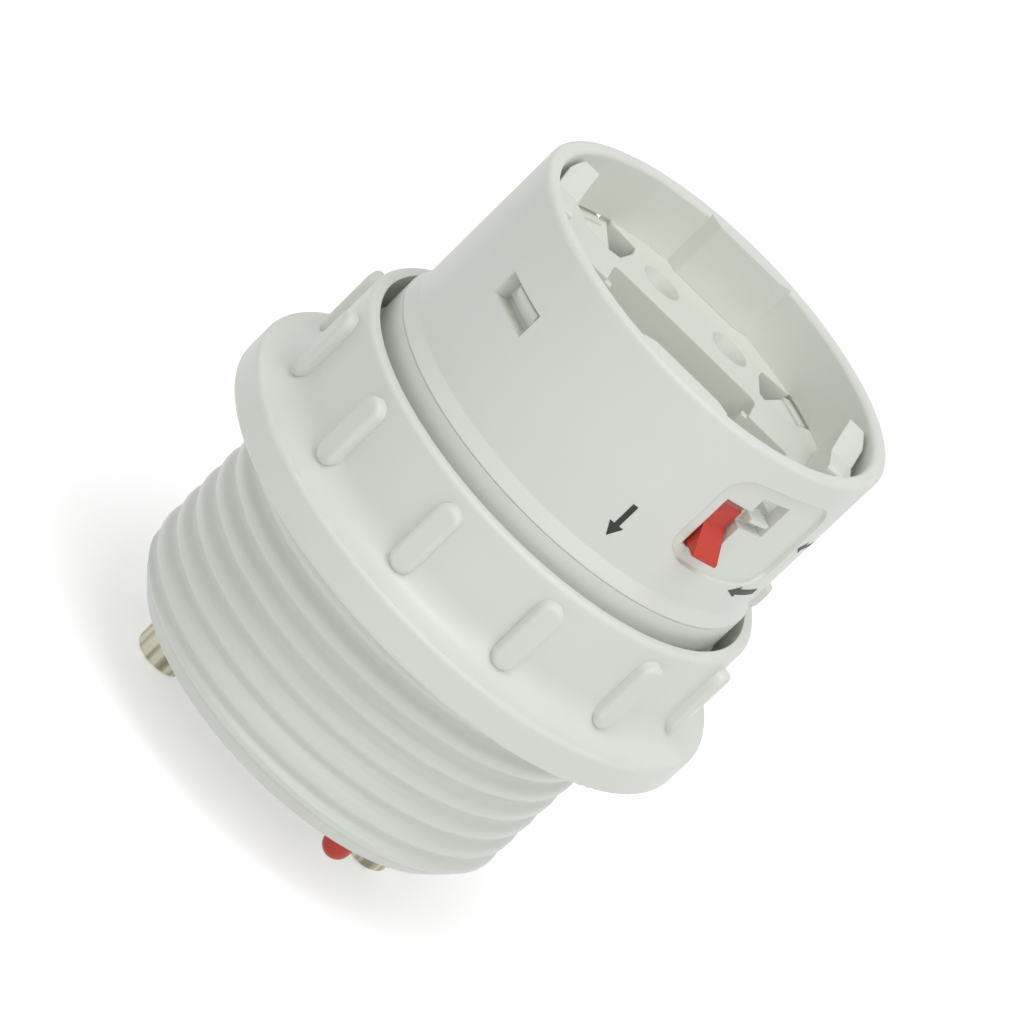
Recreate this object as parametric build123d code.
from build123d import *
import math
import os

os.makedirs("parts", exist_ok=True)

# Frame
# Sizes are in millimetres. The axis is Z and the foot of the threaded sleeve is at z = 0.
# The lamp goes in at the top, the base pins stand on the X axis and the front is -Y.
# Angles round the axis are read from the front (-Y) towards +X, in degrees.

# Clearances
run_gap = 0.3
ring_clear = 0.55
board_clear = 0.5

# Threaded sleeve
sleeve_height = 33.9
thread_r = 20.0
thread_depth = 0.65
thread_pitch = 2.5
thread_crest = 0.7
thread_round = 0.25
thread_start = 1.97
sleeve_wall = 1.65
foot_round = 1.0
foot_lead = 1.4
foot_slope = 0.55
relief_depth = 0.15
relief_width = 0.8
collar_proud = 0.25
collar_high = 2.9
ledge_width = 0.5
ledge_height = 1.6

# Upper housing
housing_r = 19.05
housing_height = 17.2
housing_wall = 1.45
rim_round = 0.45
cone_height = 1.4
skirt_height = 3.5
skirt_wall = 1.2
seat_width = 1.2
seat_height = 1.5
boss_thick = 1.3
boss_half = 3.4
boss_foot = 4.6
boss_edge = 0.3
web = 0.7
dish_depth = 0.35
dish_middle = 47.5
dish_width = 14.6
dish_height = 11.0
dish_round = 2.5
dish_below = 1.85
nub_angle = 87.0
nub_span = 6.0
nub_proud = 0.6
nub_rise = 1.3
nub_high = 2.4

# Windows for the snap hooks of the insert
window_middle = 44.5
window_span = 15.8
window_height = 2.55
hook_span = 10.6
hook_reach = 1.1
hook_edge = 0.4

# Socket insert
face_depth = 5.75
plate_thick = 2.0
pin_pitch_x = 8.0
pin_pitch_y = 23.6
pin_hole_r = 1.3
pin_mouth_r = 1.95
pin_sink = 1.5
key_x = 8.2
key_y = 6.8
key_depth = 16.4
key_round = 0.8
channel_x = 12.6
channel_y = 2.8
channel_depth = 8.0
lip_thick = 0.65
lip_width = 0.9
block_wall = 1.2
tongue_start = 37.6
tongue_end = 51.5
tongue_in = 13.8
tongue_drop = 1.5
tower_in = 14.6
tower_thick = 2.3
tower_half = 6.3
tower_high = 5.05
tower_valley = 3.95
tower_gap = 0.35
chamber_x = 3.2
chamber_y = 3.4
chamber_wall = 0.8
chamber_depth = 12.4

# Contacts
contact_wide = 2.6
contact_thick = 0.4
contact_tail = 3.2
contact_head = 0.9

# Base plate and base pins
plate_z = 0.6
base_thick = 2.0
post_r = 1.6
post_inset = 3.1
post_angle = 52.0
post_turn = 16.0
post_high = 5.4
pin_spacing = 24.0
pin_head_r = 2.45
pin_head_high = 2.8
pin_end_z = -6.15
pin_neck_r = 1.5
pin_rivet_r = 2.6
pin_rivet_high = 0.8
pin_tail_r = 0.8
pin_tail_over = 1.0

# Lock slider and its spring
lock_angle = 36.5
lock_inset = 3.02
knob_r = 1.33
knob_proud = 1.9
rod_r = 1.1
stop_high = 1.0
stop_r = 2.2
lock_travel = 2.4
arm_below = 6.95
arm_thick = 2.0
tab_start = 32.2
tab_end = 39.9
tab_inset = 1.4
tab_sunk = 1.05
tab_below = 0.55
wedge_high = 2.5
wedge_proud = 1.35
wedge_lip = 0.3
slot_end = 50.0
step_below = 1.55
step_high = 3.4
spring_r = 1.75
spring_wire = 0.2
spring_turns = 4

# Shade ring
ring_wall = 1.11
ring_height = 13.05
ring_below = 1.7
flange_out = 3.61
flange_thick = 3.3
flare_r = 2.9
ring_round = 0.45
rib_count = 12
rib_first = 15.6
rib_proud = 1.08
rib_wide = 2.4
rib_foot = 4.25
rib_head = 1.3
rib_round = 0.5

# Circuit board and leads
board_thick = 1.6
wire_r = 0.6
wire_reach = 1.8
wire_bow = 0.7
lead_r = 0.35

# Choke
choke_x = -4.0
choke_y = 4.0
choke_foot = 1.0
core_wide = 13.0
core_deep = 5.2
core_high = 12.4
core_leg = 1.9
core_middle = 4.2
core_yoke = 2.2
bobbin_wall = 0.7
bobbin_foot_x = 12.4
bobbin_foot_y = 9.2
cheek_x = 9.0
cheek_y = 12.4
cheek_thick = 0.8
coil_x = 8.6
coil_y = 11.4
coil_round = 1.6

# Other components
capacitor_x = 8.0
capacitor_y = 6.5
capacitor_r = 5.0
capacitor_high = 15.5
crimp_z = 1.6
crimp_deep = 0.25
crimp_high = 1.0
film_x = 10.5
film_y = -5.2
film_thick = 3.5
film_long = 7.0
film_high = 6.6
film_round = 0.9
film_lead = 2.5
film_stand = 1.0
toroid_edge_x = 9.7
toroid_edge_y = 8.7
toroid_in = 2.3
toroid_out = 3.9
toroid_high = 3.1
toroid_wire = 0.5
toroid_strand = 0.9
toroid_turns = 9
fuse_edge = 3.6
fuse_y = 4.6
fuse_r = 1.6
fuse_high = 8.0
diode_r = 1.35
diode_high = 4.6
diode_one = (4.2, -2.2)
diode_two = (4.2, 0.8)
diode_three = (7.0, -1.2)
diode_four_x = -1.2
diode_four_edge = 2.8
transistor_x = 2.5
transistor_ya = -5.8
transistor_yb = -9.9
transistor_wide = 8.0
transistor_thick = 3.0
transistor_high = 10.4
transistor_stand = 1.6
transistor_eye = 2.8
transistor_hole_r = 1.5
transistor_pitch = 2.3
transistor_lead = 0.8
stand_off = 0.6
loop_high = 0.8

# Worked-out sizes
root_r = thread_r - thread_depth
bore_r = root_r - sleeve_wall
collar_r = root_r + collar_proud
collar_z = sleeve_height - collar_high
inner_r = housing_r - housing_wall
rim_z = sleeve_height + housing_height
face_z = rim_z - face_depth
plate_low = face_z - plate_thick
base_top = plate_z + base_thick
board_z = base_top + post_high
board_top = board_z + board_thick
board_r = bore_r - board_clear
toroid_x = toroid_edge_x - board_r
toroid_y = toroid_edge_y - board_r
fuse_x = fuse_edge - board_r
diode_four = (diode_four_x, diode_four_edge - board_r)
lip_x = key_x - lip_thick
tower_out = tower_in + tower_thick
post_ring = bore_r - post_inset
lock_ring = bore_r - lock_inset
arm_z = face_z - arm_below
wedge_z = arm_z + arm_thick
tab_in = inner_r - tab_inset
tab_out = housing_r - tab_sunk
tab_top = face_z - tab_below
wedge_r = housing_r + wedge_proud
slot_start = tab_start - math.degrees(run_gap / tab_out)
tab_side = tab_end + math.degrees(run_gap / tab_out)
slot_low = wedge_z - run_gap
slot_mid = wedge_z + wedge_high + lock_travel + run_gap
slot_step_z = face_z - step_below
slot_top_z = slot_step_z + step_high
pocket_r = housing_r - web
ring_bore_r = thread_r + ring_clear
ring_body_r = ring_bore_r + ring_wall
ring_top_z = sleeve_height - ring_below
ring_foot_z = ring_top_z - ring_height
flange_r = ring_body_r + flange_out
rib_r = ring_body_r + rib_proud
corners = [(1, 1), (-1, 1), (-1, -1), (1, -1)]


def face_of(points, rounds=()):
    """A flat face through the points, with some corners rounded: (x, y, radius)."""
    face = make_face(Polyline(*points, close=True))
    for x, y, radius in rounds:
        corner = face.vertices().sort_by_distance((x, y, 0))[0]
        face = fillet(corner, radius)
    return face


def turned(points, rounds=()):
    """A full turn of a profile given as (radius, z)."""
    return revolve(Plane.XZ * face_of(points, rounds), Axis.Z)


def sector(points, start, end):
    """Part of a turn of a (radius, z) profile, between two angles from the front."""
    part = revolve(Plane.XZ * face_of(points), Axis.Z, revolution_arc=end - start)
    return Rot(0, 0, start - 90) * part


def round_bar(x, y, low, high, radius):
    """An upright cylinder between two heights."""
    bar = Cylinder(radius, high - low, align=(Align.CENTER, Align.CENTER, Align.MIN))
    return Pos(x, y, low) * bar


def block(x0, x1, y0, y1, z0, z1):
    """A box between two corners."""
    size = Box(abs(x1 - x0), abs(y1 - y0), z1 - z0)
    return Pos((x0 + x1) / 2, (y0 + y1) / 2, (z0 + z1) / 2) * size


def place(angle, radius, z):
    """A point at an angle from the front."""
    turn = math.radians(angle)
    return (radius * math.sin(turn), -radius * math.cos(turn), z)


# Threaded sleeve

def thread_outline():
    """The outside of the sleeve from foot to collar, with a rounded ridge at each pitch."""
    points = []
    rounds = []
    top = thread_crest / 2
    crest = thread_start + thread_pitch
    while crest + thread_pitch / 2 < collar_z - relief_width:
        points = points + [(root_r, crest - top - thread_depth), (thread_r, crest - top),
                           (thread_r, crest + top), (root_r, crest + top + thread_depth)]
        rounds = rounds + [(thread_r, crest - top, thread_round), (thread_r, crest + top, thread_round)]
        crest = crest + thread_pitch
    return points, rounds


def sleeve():
    """The sleeve: ridges outside, a ledge inside for the base plate, a plain collar on top."""
    ledge_r = bore_r - ledge_width
    ledge_top = base_top + ledge_height
    foot_r = root_r - foot_lead * foot_slope
    relief_r = root_r - relief_depth
    points, rounds = thread_outline()
    foot = [(bore_r, 0), (foot_r, 0), (foot_r, foot_round), (root_r, foot_round + foot_lead)]
    relief_z = collar_z - relief_width
    top = [(root_r, relief_z - relief_depth), (relief_r, relief_z), (relief_r, collar_z),
           (collar_r, collar_z), (collar_r, sleeve_height), (bore_r, sleeve_height),
           (bore_r, ledge_top + ledge_width), (ledge_r, ledge_top), (ledge_r, base_top), (bore_r, base_top)]
    return turned(foot + points + top, rounds + [(foot_r, 0, foot_round * 0.8)])


# Upper housing

def housing_wall_ring():
    """The wall of the upper housing with its skirt and the seat for the insert."""
    skirt_r = bore_r - skirt_wall
    skirt_low = sleeve_height - skirt_height
    seat_r = inner_r - seat_width
    seat_low = plate_low - seat_height
    cone_z = sleeve_height + cone_height
    points = [
        (skirt_r, skirt_low), (bore_r, skirt_low), (bore_r, sleeve_height), (collar_r, sleeve_height),
        (housing_r, cone_z), (housing_r, rim_z), (inner_r, rim_z), (inner_r, plate_low),
        (seat_r, plate_low), (seat_r, seat_low), (inner_r, seat_low - seat_width),
        (inner_r, cone_z + skirt_wall), (skirt_r, cone_z)]
    return turned(points, [(housing_r, rim_z, rim_round), (inner_r, rim_z, rim_round)])


def guide_boss(side):
    """One flat-faced boss on the inside of the rim, at the front or the back."""
    flat_y = inner_r - boss_thick
    foot_y = math.sqrt(inner_r ** 2 - boss_foot ** 2)
    deep = inner_r + housing_wall / 2
    points = [(-boss_foot, deep), (-boss_foot, foot_y), (-boss_half, flat_y),
              (boss_half, flat_y), (boss_foot, foot_y), (boss_foot, deep)]
    rounds = [(-boss_half, flat_y, boss_edge), (boss_half, flat_y, boss_edge)]
    boss = Pos(0, 0, face_z) * extrude(face_of(points, rounds), face_depth)
    boss = boss & round_bar(0, 0, face_z, rim_z, deep)
    return Rot(0, 0, 0 if side > 0 else 180) * boss


def dish():
    """The shallow recess round the lock slot: a tapered cut that stops on a cylinder."""
    turn = math.radians(dish_middle)
    out = Vector(math.sin(turn), -math.cos(turn), 0)
    side = Vector(math.cos(turn), math.sin(turn), 0)
    reach = housing_r + wedge_proud
    start = Plane(origin=out * reach + Vector(0, 0, face_z - dish_below), x_dir=side, z_dir=-out)
    outline = start * RectangleRounded(dish_width, dish_height, dish_round)
    cutter = extrude(outline, housing_r / 2, taper=20)
    return cutter - round_bar(0, 0, 0, rim_z + 1, housing_r - dish_depth)


def lock_slot():
    """The L-shaped lock slot and the pocket behind the wall that the tab rises into."""
    out = housing_r + wedge_proud
    low_in = tab_in - run_gap
    near = inner_r - run_gap
    leg = [(low_in, slot_low), (out, slot_low), (out, slot_mid), (low_in, slot_mid)]
    leg = sector(leg, slot_start, tab_side)
    step = sector([(near, slot_step_z), (out, slot_step_z), (out, slot_top_z), (near, slot_top_z)],
                  tab_side - 1, slot_end)
    top = tab_top + lock_travel + run_gap
    pocket = sector([(near, slot_mid - 1), (pocket_r, slot_mid - 1), (pocket_r, top), (near, top)],
                    slot_start, tab_side)
    way = [(low_in, arm_z), (inner_r, arm_z), (inner_r, face_z), (low_in, face_z)]
    way = sector(way, slot_start, tab_side)
    return leg + step + pocket + way


def snap_window(middle):
    """One window through the wall for a snap hook."""
    low = face_z - window_height
    near = inner_r - run_gap
    points = [(near, low), (housing_r + 1, low), (housing_r + 1, face_z), (near, face_z)]
    return sector(points, middle - window_span / 2, middle + window_span / 2)


def window_angles():
    """The middles of the four hooks; the one at the lock shares the lock slot."""
    return [window_middle, -window_middle, 180 - window_middle, 180 + window_middle]


def key_nub():
    """A small nub at the foot of the wall that shows which way round the holder goes."""
    near = inner_r + housing_wall / 2
    low = sleeve_height + nub_rise
    far = housing_r + nub_proud
    points = [(near, low), (far - nub_proud / 3, low), (far, low + nub_high / 4),
              (far, low + nub_high * 3 / 4), (near, low + nub_high)]
    return sector(points, nub_angle - nub_span / 2, nub_angle + nub_span / 2)


def upper_housing():
    """The smooth upper housing."""
    solid = housing_wall_ring()
    solid = solid + guide_boss(1)
    solid = solid + guide_boss(-1)
    solid = solid - dish()
    solid = solid + key_nub()
    solid = solid - lock_slot()
    for middle in window_angles()[1:]:
        solid = solid - snap_window(middle)
    return solid


# Socket insert

def key_outline(grow):
    """The keyed outline of the cavity, grown all round by a wall."""
    wide = key_x + grow
    high = key_y + grow
    main = RectangleRounded(2 * wide, 2 * high, key_round + grow / 2)
    channel = Rectangle(2 * (channel_x + grow), 2 * (channel_y + grow))
    return main, channel


def key_block():
    """The walls round the key cavity, below the face plate."""
    main, channel = key_outline(block_wall)
    deep = extrude(main, key_depth + block_wall - plate_thick)
    deep = Pos(0, 0, face_z - key_depth - block_wall) * deep
    short = extrude(channel, channel_depth + block_wall - plate_thick)
    short = Pos(0, 0, face_z - channel_depth - block_wall) * short
    return deep + short


def key_cavity():
    """The hollow that takes the key of the lamp, with its side channels."""
    main, channel = key_outline(0)
    deep = Pos(0, 0, face_z - key_depth) * extrude(main, key_depth + 1)
    short = Pos(0, 0, face_z - channel_depth) * extrude(channel, channel_depth + 1)
    return deep + short


def key_lips():
    """Small upright lips where the channels open into the cavity."""
    lips = None
    for sx, sy in corners:
        x0 = min(sx * lip_x, sx * (key_x + 0.2))
        x1 = max(sx * lip_x, sx * (key_x + 0.2))
        y0 = min(sy * channel_y, sy * (channel_y + lip_width))
        y1 = max(sy * channel_y, sy * (channel_y + lip_width))
        lip = block(x0, x1, y0, y1, face_z - channel_depth, face_z - 0.3)
        lips = lip if lips is None else lips + lip
    return lips


def crescent(sx, sy):
    """The pocket beside a snap hook, right through the face plate and open to the wall.

    Its outline is measured from one point of the wall, so it stays with the wall."""
    wall_x, wall_y = inner_r * 0.6, inner_r * 0.8
    points = [(2.64, -3.28), (1.54, -4.98), (0.24, -5.58), (-0.96, -5.63), (-2.36, -5.13),
              (-3.16, -2.08), (-3.06, -0.58), (-0.16, -0.18), (1.14, 1.12), (3.84, -2.28)]
    outline = face_of([(sx * (wall_x + x), sy * (wall_y + y)) for x, y in points])
    return Pos(0, 0, plate_low - 1) * extrude(outline, plate_thick + 2)


def tongue(sx, sy):
    """The springy tongue that carries a snap hook: it slopes down into the pocket."""
    low = face_z - plate_thick
    points = [(tongue_in, low), (inner_r, low), (inner_r, face_z - run_gap),
              (tongue_in, face_z - tongue_drop)]
    span = tongue_end - tongue_start
    start = {(1, -1): tongue_start, (-1, -1): -tongue_end,
             (1, 1): 180 - tongue_end, (-1, 1): 180 + tongue_start}
    return sector(points, start[(sx, sy)], start[(sx, sy)] + span)


def snap_hook(start, end, low):
    """One hook on the rim of the insert, slanted so that it rides in from above."""
    root = inner_r - 0.8
    top = face_z - run_gap
    tip = inner_r + hook_reach
    points = [(root, low), (inner_r, low), (tip, top - hook_edge), (tip, top), (root, top)]
    return sector(points, start, end)


def snap_hooks():
    """The four hooks; the one at the lock is shorter, to stay clear of the tab and the slot."""
    offset = (window_span - hook_span) * 0.8 - window_span / 2
    hooks = snap_hook(tab_side + 1, slot_end - 1, slot_step_z + run_gap)
    for middle in window_angles()[1:]:
        hooks = hooks + snap_hook(middle + offset, middle + offset + hook_span, plate_low)
    return hooks


def latch_tower(side):
    """A tower that guides and holds the lamp at one end, with a shallow valley in its top."""
    low = face_z - plate_thick / 2
    points = [(-tower_half, low), (-tower_half, face_z + tower_high), (0, face_z + tower_valley),
              (tower_half, face_z + tower_high), (tower_half, low)]
    rounds = [(-tower_half, face_z + tower_high, tower_gap), (tower_half, face_z + tower_high, tower_gap)]
    tower = Pos(tower_in, 0, 0) * extrude(Plane.YZ * face_of(points, rounds), tower_thick)
    tower = tower & round_bar(0, 0, low - 1, rim_z, inner_r - tower_gap)
    return Rot(0, 0, 0 if side > 0 else 180) * tower


def chamber(sx, sy):
    """The walls of one contact chamber, open at its foot."""
    x = sx * pin_pitch_x / 2
    y = sy * pin_pitch_y / 2
    half_x = chamber_x / 2 + chamber_wall
    half_y = chamber_y / 2 + chamber_wall
    low = face_z - chamber_depth
    return block(x - half_x, x + half_x, y - half_y, y + half_y, low, plate_low + 0.1)


def pin_hole(sx, sy):
    """One lamp pin hole with its countersink and the hollow of the chamber."""
    x = sx * pin_pitch_x / 2
    y = sy * pin_pitch_y / 2
    hole = round_bar(x, y, plate_low - 1, face_z + 1, pin_hole_r)
    cone = Cone(pin_hole_r, pin_mouth_r, pin_sink, align=(Align.CENTER, Align.CENTER, Align.MIN))
    hole = hole + Pos(x, y, face_z - pin_sink) * cone
    half_x = chamber_x / 2
    half_y = chamber_y / 2
    low = face_z - chamber_depth - 1
    return hole + block(x - half_x, x + half_x, y - half_y, y + half_y, low, plate_low)


def tab_notch():
    """The way through the rim of the face plate for the lock tab."""
    way_in = tab_in - run_gap
    low = plate_low - 2
    high = face_z + 1
    points = [(way_in, low), (housing_r, low), (housing_r, high), (way_in, high)]
    return sector(points, slot_start, tab_side)


def socket_insert():
    """The insert: face plate, key cavity, contact chambers, snap hooks and latch towers."""
    solid = round_bar(0, 0, plate_low, face_z, inner_r)
    for sx, sy in corners:
        solid = solid - crescent(sx, sy)
    for sx, sy in corners:
        solid = solid + tongue(sx, sy)
        solid = solid + chamber(sx, sy)
    solid = solid + key_block()
    solid = solid + snap_hooks()
    solid = solid + latch_tower(1)
    solid = solid + latch_tower(-1)
    solid = solid - key_cavity()
    solid = solid + key_lips()
    for sx, sy in corners:
        solid = solid - pin_hole(sx, sy)
    return solid - tab_notch()


def contact(sx, sy):
    """A brass fork for one lamp pin, open at the top, with a tail for its wire."""
    x = sx * pin_pitch_x / 2
    y = sy * pin_pitch_y / 2
    half = contact_wide / 2
    out = chamber_y / 2
    top = plate_low - contact_head
    low = face_z - chamber_depth + 1
    fork = block(x - half, x + half, y - out, y + out, low, top)
    gap = out - contact_thick
    fork = fork - block(x - half - 1, x + half + 1, y - gap, y + gap, low + contact_thick, top + 1)
    edge = y + sy * out
    inside = edge - sy * contact_thick
    near = min(edge, inside)
    far = max(edge, inside)
    tail = block(x - half / 2, x + half / 2, near, far, low - contact_tail, low + 1)
    return fork + tail


# Base

def posts():
    """Middles of the posts that carry the circuit board."""
    angles = (-post_angle, post_angle + post_turn, 180 - post_angle, 180 + post_angle)
    return [place(angle, post_ring, 0) for angle in angles]


def lock_spot():
    """Where the rod of the lock stands, on a ring inside the wall."""
    x, y, z = place(lock_angle, lock_ring, 0)
    return x, y


def base_plate():
    """The closing plate with board posts, pin holes and the knob hole."""
    plate = round_bar(0, 0, plate_z, base_top, bore_r)
    for x, y, z in posts():
        plate = plate + round_bar(x, y, plate_z + 1, board_z, post_r)
    for side in (1, -1):
        plate = plate - round_bar(side * pin_spacing / 2, 0, plate_z - 1, base_top + 1, pin_neck_r)
    x, y = lock_spot()
    plate = plate - round_bar(x, y, plate_z - 1, base_top + 1, knob_r + run_gap)
    return plate


def base_pin(side):
    """One mushroom pin: head, neck through the plate, rivet inside and a tail to the board."""
    head_top = pin_end_z + pin_head_high
    rivet_top = base_top + pin_rivet_high
    tail_top = board_top + pin_tail_over
    points = [(0, pin_end_z), (pin_head_r, pin_end_z), (pin_head_r, head_top), (pin_neck_r, head_top),
              (pin_neck_r, base_top), (pin_rivet_r, base_top), (pin_rivet_r, rivet_top),
              (pin_tail_r, rivet_top), (pin_tail_r, tail_top), (0, tail_top)]
    rounds = [(pin_head_r, pin_end_z, 0.5), (pin_head_r, head_top, 0.3), (pin_rivet_r, rivet_top, 0.4)]
    return Pos(side * pin_spacing / 2, 0, 0) * turned(points, rounds)


# Lock

def lock_slider():
    """The red slider in one piece: knob, rod, arm and the tab in the wall."""
    stop = base_top + run_gap
    points = [(0, -knob_proud), (knob_r, -knob_proud), (knob_r, stop), (stop_r, stop),
              (stop_r, stop + stop_high), (rod_r, stop + stop_high),
              (rod_r, arm_z + arm_thick / 2), (0, arm_z + arm_thick / 2)]
    rod = turned(points) + Pos(0, 0, -knob_proud) * Sphere(knob_r)
    x, y = lock_spot()
    rod = Pos(x, y, 0) * rod
    arm_in = lock_ring - rod_r
    arm_out = inner_r - run_gap
    arm = [(arm_in, arm_z), (arm_out, arm_z), (arm_out, wedge_z), (arm_in, wedge_z)]
    tab = [(tab_in, arm_z), (arm_out, arm_z), (arm_out, wedge_z), (wedge_r, wedge_z),
           (wedge_r, wedge_z + wedge_lip), (tab_out, wedge_z + wedge_high),
           (tab_out, tab_top), (tab_in, tab_top)]
    return rod + sector(arm, tab_start, tab_end) + sector(tab, tab_start, tab_end)


def lock_spring():
    """The return spring, between the stop of the slider and the circuit board."""
    low = base_top + run_gap + stop_high + spring_wire
    high = board_z - spring_wire
    path = Helix(pitch=(high - low) / spring_turns, height=high - low, radius=spring_r)
    start = Plane(origin=path @ 0, z_dir=path % 0)
    coil = sweep(start * Circle(spring_wire), path=path, is_frenet=True)
    x, y = lock_spot()
    return Pos(x, y, low) * coil


# Shade ring

def ring_rib(index):
    """One grip rib: a rounded capsule on the wall of the ring."""
    angle = rib_first + index * 360 / rib_count
    turn = math.radians(angle)
    out = Vector(math.sin(turn), -math.cos(turn), 0)
    side = Vector(math.cos(turn), math.sin(turn), 0)
    low = ring_foot_z + rib_foot
    high = ring_top_z - rib_head
    root = ring_body_r - ring_wall / 2
    start = Plane(origin=out * root + Vector(0, 0, (low + high) / 2), x_dir=side, z_dir=out)
    outline = start * Rot(0, 0, 90) * SlotOverall(high - low, rib_wide)
    rib = extrude(outline, rib_r - root)
    top = rib.faces().sort_by(Axis(origin=(0, 0, 0), direction=(out.X, out.Y, out.Z)))[-1]
    return fillet(top.edges(), rib_round)


def shade_ring():
    """The loose ring that clamps a shade: grip ribs, a hollow flare and a flange."""
    flange_top = ring_foot_z + flange_thick
    curve_z = flange_top + flare_r
    curve_r = ring_body_r + flare_r
    bend = flare_r * math.sqrt(0.5)
    outline = [
        Line((ring_bore_r, ring_foot_z), (flange_r, ring_foot_z)),
        Line((flange_r, ring_foot_z), (flange_r, flange_top)),
        Line((flange_r, flange_top), (curve_r, flange_top)),
        ThreePointArc((curve_r, flange_top), (curve_r - bend, curve_z - bend), (ring_body_r, curve_z)),
        Line((ring_body_r, curve_z), (ring_body_r, ring_top_z)),
        Line((ring_body_r, ring_top_z), (ring_bore_r, ring_top_z)),
        Line((ring_bore_r, ring_top_z), (ring_bore_r, ring_foot_z))]
    face = make_face(Curve() + outline)
    for x, y, radius in [(flange_r, ring_foot_z, ring_round), (flange_r, flange_top, ring_round),
                         (ring_body_r, ring_top_z, ring_round)]:
        face = fillet(face.vertices().sort_by_distance((x, y, 0))[0], radius)
    ring = revolve(Plane.XZ * face, Axis.Z)
    for index in range(rib_count):
        ring = ring + ring_rib(index)
    return ring


# Circuit board and components

def wire_foot(sx, sy):
    """Where a lead wire leaves the board, below the tail of its contact."""
    return sx * pin_pitch_x / 2, sy * (pin_pitch_y / 2 + chamber_y / 2 - contact_thick - wire_r)


def circuit_board():
    """The round board with its through holes."""
    board = round_bar(0, 0, board_z, board_top, board_r)
    for side in (1, -1):
        board = board - round_bar(side * pin_spacing / 2, 0, board_z - 1, board_top + 1, pin_tail_r)
    x, y = lock_spot()
    return board - round_bar(x, y, board_z - 1, board_top + 1, rod_r + run_gap)


def centred(wide, deep, low, high):
    """A box round the axis of the choke, between two heights above the board."""
    x, y, z = choke_x, choke_y, board_top
    return block(x - wide / 2, x + wide / 2, y - deep / 2, y + deep / 2, z + low, z + high)


def choke_core():
    """The ferrite core of the choke: two outer legs, two yokes and a middle leg."""
    low = choke_foot
    high = choke_foot + core_high
    core = centred(core_wide, core_deep, low, high)
    windows = centred(core_wide - 2 * core_leg, core_deep + 2, low + core_yoke, high - core_yoke)
    windows = windows - centred(core_middle, core_deep + 4, low, high)
    return core - windows


def choke_bobbin():
    """The bobbin on the middle leg, with a foot that stands on the board."""
    low = choke_foot + core_yoke
    high = choke_foot + core_high - core_yoke
    tube_x = core_middle + 2 * bobbin_wall
    tube_y = core_deep + 2 * bobbin_wall
    body = centred(bobbin_foot_x, bobbin_foot_y, 0, choke_foot)
    body = body + centred(tube_x, tube_y, low, high)
    body = body + centred(cheek_x, cheek_y, low, low + cheek_thick)
    body = body + centred(cheek_x, cheek_y, high - cheek_thick, high)
    legs = centred(cheek_x, bobbin_foot_y, choke_foot, low) - centred(cheek_x + 1, core_deep, choke_foot, low)
    body = body + legs
    return body - centred(core_middle, core_deep, choke_foot, high + 1)


def choke_winding():
    """The copper winding, wound on the bobbin between its cheeks."""
    low = choke_foot + core_yoke + cheek_thick
    high = choke_foot + core_high - core_yoke - cheek_thick
    coil = extrude(RectangleRounded(coil_x, coil_y, coil_round), high - low)
    coil = Pos(choke_x, choke_y, board_top + low) * coil
    return coil - centred(core_middle + 2 * bobbin_wall, core_deep + 2 * bobbin_wall, low - 1, high + 1)


def bulk_capacitor():
    """The electrolytic can, standing on the board, with its crimped waist."""
    z = board_top
    waist = capacitor_r - crimp_deep
    lid = capacitor_r - 2 * crimp_deep
    top = z + capacitor_high
    points = [(0, z), (capacitor_r, z), (capacitor_r, z + crimp_z),
              (waist, z + crimp_z + crimp_high / 2), (capacitor_r, z + crimp_z + crimp_high),
              (capacitor_r, top), (lid, top), (lid, top - crimp_deep), (0, top - crimp_deep)]
    rounds = [(capacitor_r, z, crimp_deep), (capacitor_r, top, crimp_deep)]
    return Pos(capacitor_x, capacitor_y, 0) * turned(points, rounds)


def film_capacitor():
    """A dipped film capacitor with rounded edges on two short leads."""
    body = fillet(Box(film_thick, film_long, film_high).edges(), film_round)
    body = Pos(film_x, film_y, board_top + film_stand + film_high / 2) * body
    for y in (film_y - film_lead, film_y + film_lead):
        body = body + round_bar(film_x, y, board_top, board_top + 2 * film_stand, lead_r)
    return body


def toroid_ring(grow):
    """The outline of the ferrite ring, grown by the thickness of its wire."""
    low = board_top + toroid_wire - grow
    high = board_top + toroid_wire + toroid_high + grow
    near = toroid_in - grow
    far = toroid_out + grow
    return turned([(near, low), (far, low), (far, high), (near, high)])


def toroid_core():
    """The ferrite ring of the drive transformer, flat above the board."""
    return Pos(toroid_x, toroid_y, 0) * toroid_ring(0)


def toroid_winding():
    """Turns of insulated wire round the ferrite ring, resting on the board."""
    half = toroid_strand / 2
    turns = None
    for index in range(toroid_turns):
        bar = block(0, toroid_out + 2 * toroid_wire, -half, half, board_top - 1, board_top + 2 * toroid_high)
        bar = Rot(0, 0, index * 360 / toroid_turns) * bar
        turns = bar if turns is None else turns + bar
    return Pos(toroid_x, toroid_y, 0) * ((toroid_ring(toroid_wire) - toroid_ring(0)) & turns)


def transistor(x, y):
    """A flat power transistor standing on three leads, with its fixing hole."""
    low = board_top + transistor_stand
    high = low + transistor_high
    half = transistor_thick / 2
    wide = transistor_wide / 2
    body = block(x - wide, x + wide, y - half, y + half, low, high)
    bore = Rot(90, 0, 0) * Cylinder(transistor_hole_r, 2 * transistor_thick)
    body = body - Pos(x, y, high - transistor_eye) * bore
    lead = transistor_lead / 2
    for step in (-1, 0, 1):
        middle = x + step * transistor_pitch
        body = body + block(middle - lead, middle + lead, y - lead_r, y + lead_r, board_top, low + lead)
    return body


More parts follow.
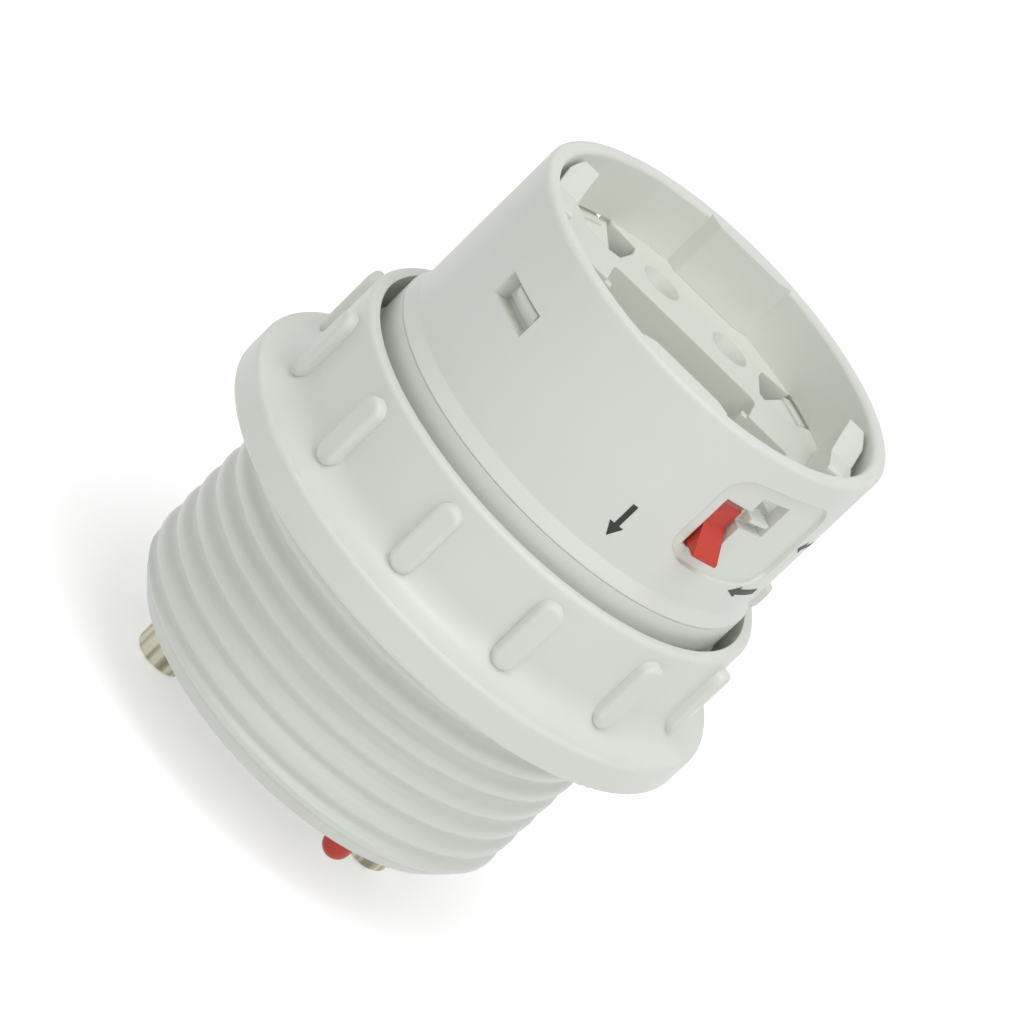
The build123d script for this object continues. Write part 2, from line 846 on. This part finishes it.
def upright_part(x, y, radius, high, side):
    """An axial component stood on end, with its top lead bent back down to the board."""
    z = board_top + stand_off
    top = z + high + loop_high
    over = radius + lead_r + run_gap
    body = turned([(0, z), (radius, z), (radius, z + high), (0, z + high)],
                  [(radius, z, run_gap), (radius, z + high, run_gap)])
    body = body + round_bar(0, 0, board_top, z + run_gap, lead_r)
    body = body + round_bar(0, 0, z + high - run_gap, top, lead_r)
    body = body + Pos(over / 2, 0, top) * Rot(0, 90, 0) * Cylinder(lead_r, over)
    body = body + Pos(0, 0, top) * Sphere(lead_r) + Pos(over, 0, top) * Sphere(lead_r)
    body = body + round_bar(over, 0, board_top, top, lead_r)
    return Pos(x, y, 0) * Rot(0, 0, side) * body


def lead_wire(sx, sy):
    """A short insulated wire from the board to the tail of a contact."""
    x, y = wire_foot(sx, sy)
    top = face_z - chamber_depth + 1 - contact_tail + wire_reach
    bent = (x + sx * wire_bow, y + sy * wire_bow, (board_top + top) / 2)
    path = Spline((x, y, board_top), bent, (x, y, top), tangents=[(0, 0, 1), (0, 0, 1)])
    return sweep(Plane(origin=(x, y, board_top), z_dir=(0, 0, 1)) * Circle(wire_r), path=path)


# Build and export

parts = {
    "threaded_sleeve": sleeve(),
    "upper_housing": upper_housing(),
    "socket_insert": socket_insert(),
    "base_plate": base_plate(),
    "base_pin_left": base_pin(-1),
    "base_pin_right": base_pin(1),
    "lock_slider": lock_slider(),
    "lock_spring": lock_spring(),
    "shade_ring": shade_ring(),
    "circuit_board": circuit_board(),
    "choke_core": choke_core(),
    "choke_bobbin": choke_bobbin(),
    "choke_winding": choke_winding(),
    "bulk_capacitor": bulk_capacitor(),
    "film_capacitor": film_capacitor(),
    "toroid_core": toroid_core(),
    "toroid_winding": toroid_winding(),
    "transistor_a": transistor(transistor_x, transistor_ya),
    "transistor_b": transistor(transistor_x, transistor_yb),
    "fuse_resistor": upright_part(fuse_x, fuse_y, fuse_r, fuse_high, 60),
}
for number, (sx, sy) in enumerate(corners, start=1):
    parts["contact_" + str(number)] = contact(sx, sy)
    parts["lead_wire_" + str(number)] = lead_wire(sx, sy)
diodes = [(diode_one, 180), (diode_two, 0), (diode_three, 0), (diode_four, 180)]
for number, (spot, side) in enumerate(diodes, start=1):
    parts["diode_" + str(number)] = upright_part(spot[0], spot[1], diode_r, diode_high, side)

for name, solid in parts.items():
    export_step(solid, "parts/" + name + ".step")
    print(name, "volume", round(solid.volume, 1))
